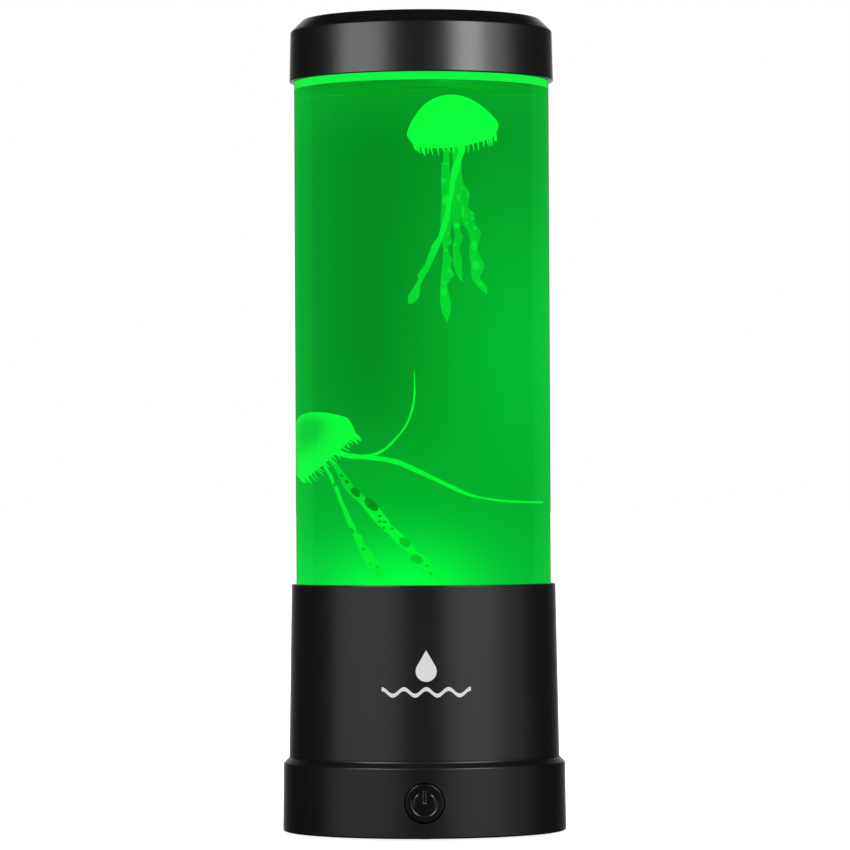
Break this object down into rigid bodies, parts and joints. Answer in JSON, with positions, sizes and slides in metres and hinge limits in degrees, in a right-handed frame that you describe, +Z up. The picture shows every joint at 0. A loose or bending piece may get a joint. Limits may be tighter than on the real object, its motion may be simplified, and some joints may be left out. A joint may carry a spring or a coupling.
{
  "type": "jellyfish lava lamp",
  "caption": "Desk lamp with a clear water-filled tube between a black base and cap, holding artificial jellyfish that drift in the light of the base.",
  "frame": {"origin": "centre of the plane that the rubber feet stand on", "axes": "+Z up along the lamp's axis; -Y is the front, with the power button; +Y is the back, with the charging inlet; +X to the right seen from the front"},
  "size_m": [0.08, 0.08, 0.2295],
  "materials": {
    "black_plastic": "satin, fine moulded grain",
    "button_plastic": "satin",
    "clear_acrylic": "polished",
    "frosted_film": "translucent frosted, lit from below",
    "water": "clear",
    "silicone_jelly": "soft translucent silicone",
    "seal_rubber": "matte",
    "plug_silicone": "matte translucent silicone",
    "foot_rubber": "matte",
    "white_plastic": "satin",
    "circuit_board": "solder-mask gloss",
    "component_black": "matte",
    "led_white": "glossy",
    "steel": "plain turned steel",
    "zinc_screw": "zinc plated",
    "magnet_nickel": "nickel plated",
    "ferrite": "dull grey ferrite",
    "lead_sheath": "flexible sheath",
    "mark_print": "pad-printed light grey"
  },
  "bodies": {
    "root": {"tank_lid": "clear_acrylic", "lid_seal": "seal_rubber", "tank_tube": "clear_acrylic", "diffuser_film": "frosted_film", "water": "water", "tank_floor": "clear_acrylic", "floor_seal": "seal_rubber", "impeller_pin": "steel", "impeller_guard": "clear_acrylic", "base_housing": "black_plastic", "base_foot": "black_plastic", "base_screws": "zinc_screw", "rubber_feet": "foot_rubber", "inner_chassis": "white_plastic", "chassis_screws": "zinc_screw", "led_board": "circuit_board", "rgb_leds": "led_white", "motor_can": "steel", "motor_end_bell": "white_plastic", "motor_field_magnets": "ferrite", "motor_bracket": "steel", "motor_screws": "zinc_screw", "bracket_screws": "zinc_screw", "control_board": "circuit_board", "board_screws": "zinc_screw", "controller_chip": "component_black", "capacitor": "component_black", "lead_connectors": "white_plastic", "switch_body": "component_black", "usb_shell": "steel", "usb_tongue": "component_black", "motor_leads": "lead_sheath", "led_leads": "lead_sheath", "front_mark": "mark_print"},
    "cap": {"top_cap": "black_plastic"},
    "plug": {"fill_plug": "plug_silicone"},
    "button": {"power_button": "button_plastic", "switch_plunger": "component_black"},
    "rotor": {"motor_armature": "ferrite", "motor_shaft": "steel", "drive_hub": "white_plastic", "drive_magnets": "magnet_nickel"},
    "stirrer": {"impeller": "white_plastic", "impeller_magnets": "magnet_nickel"},
    "upper_jellyfish": {"upper_bell": "silicone_jelly", "upper_hub": "silicone_jelly", "upper_tentacles": "silicone_jelly"},
    "lower_jellyfish": {"lower_bell": "silicone_jelly", "lower_hub": "silicone_jelly", "lower_tentacles": "silicone_jelly"}
  },
  "joints": [
    {"name": "cap_lift", "type": "slide", "parent": "root", "child": "cap", "axis": [0, 0, 1], "range_m": [0, 0.03]},
    {"name": "plug_lift", "type": "slide", "parent": "root", "child": "plug", "axis": [0, 0, 1], "range_m": [0, 0.0055]},
    {"name": "button_press", "type": "slide", "parent": "root", "child": "button", "axis": [0, 1, 0], "range_m": [0, 0.0005], "stiffness_N_per_m": 1000, "springref_m": -0.001},
    {"name": "motor_spin", "type": "hinge", "parent": "root", "child": "rotor", "pos_m": [0, 0, 0.0375], "axis": [0, 0, 1], "continuous": true},
    {"name": "stirrer_spin", "type": "hinge", "parent": "root", "child": "stirrer", "pos_m": [0, 0, 0.057], "axis": [0, 0, 1], "continuous": true},
    {"name": "upper_jellyfish_drift", "type": "slide", "parent": "root", "child": "upper_jellyfish", "axis": [0, 0, 1], "range_m": [-0.05, 0.001], "deforming": ["water"]},
    {"name": "lower_jellyfish_drift", "type": "slide", "parent": "root", "child": "lower_jellyfish", "axis": [0, 0, 1], "range_m": [0, 0.05], "deforming": ["water"]}
  ],
  "couplings": [
    {"joint": "stirrer_spin", "follows": "motor_spin", "ratio": 1}
  ]
}
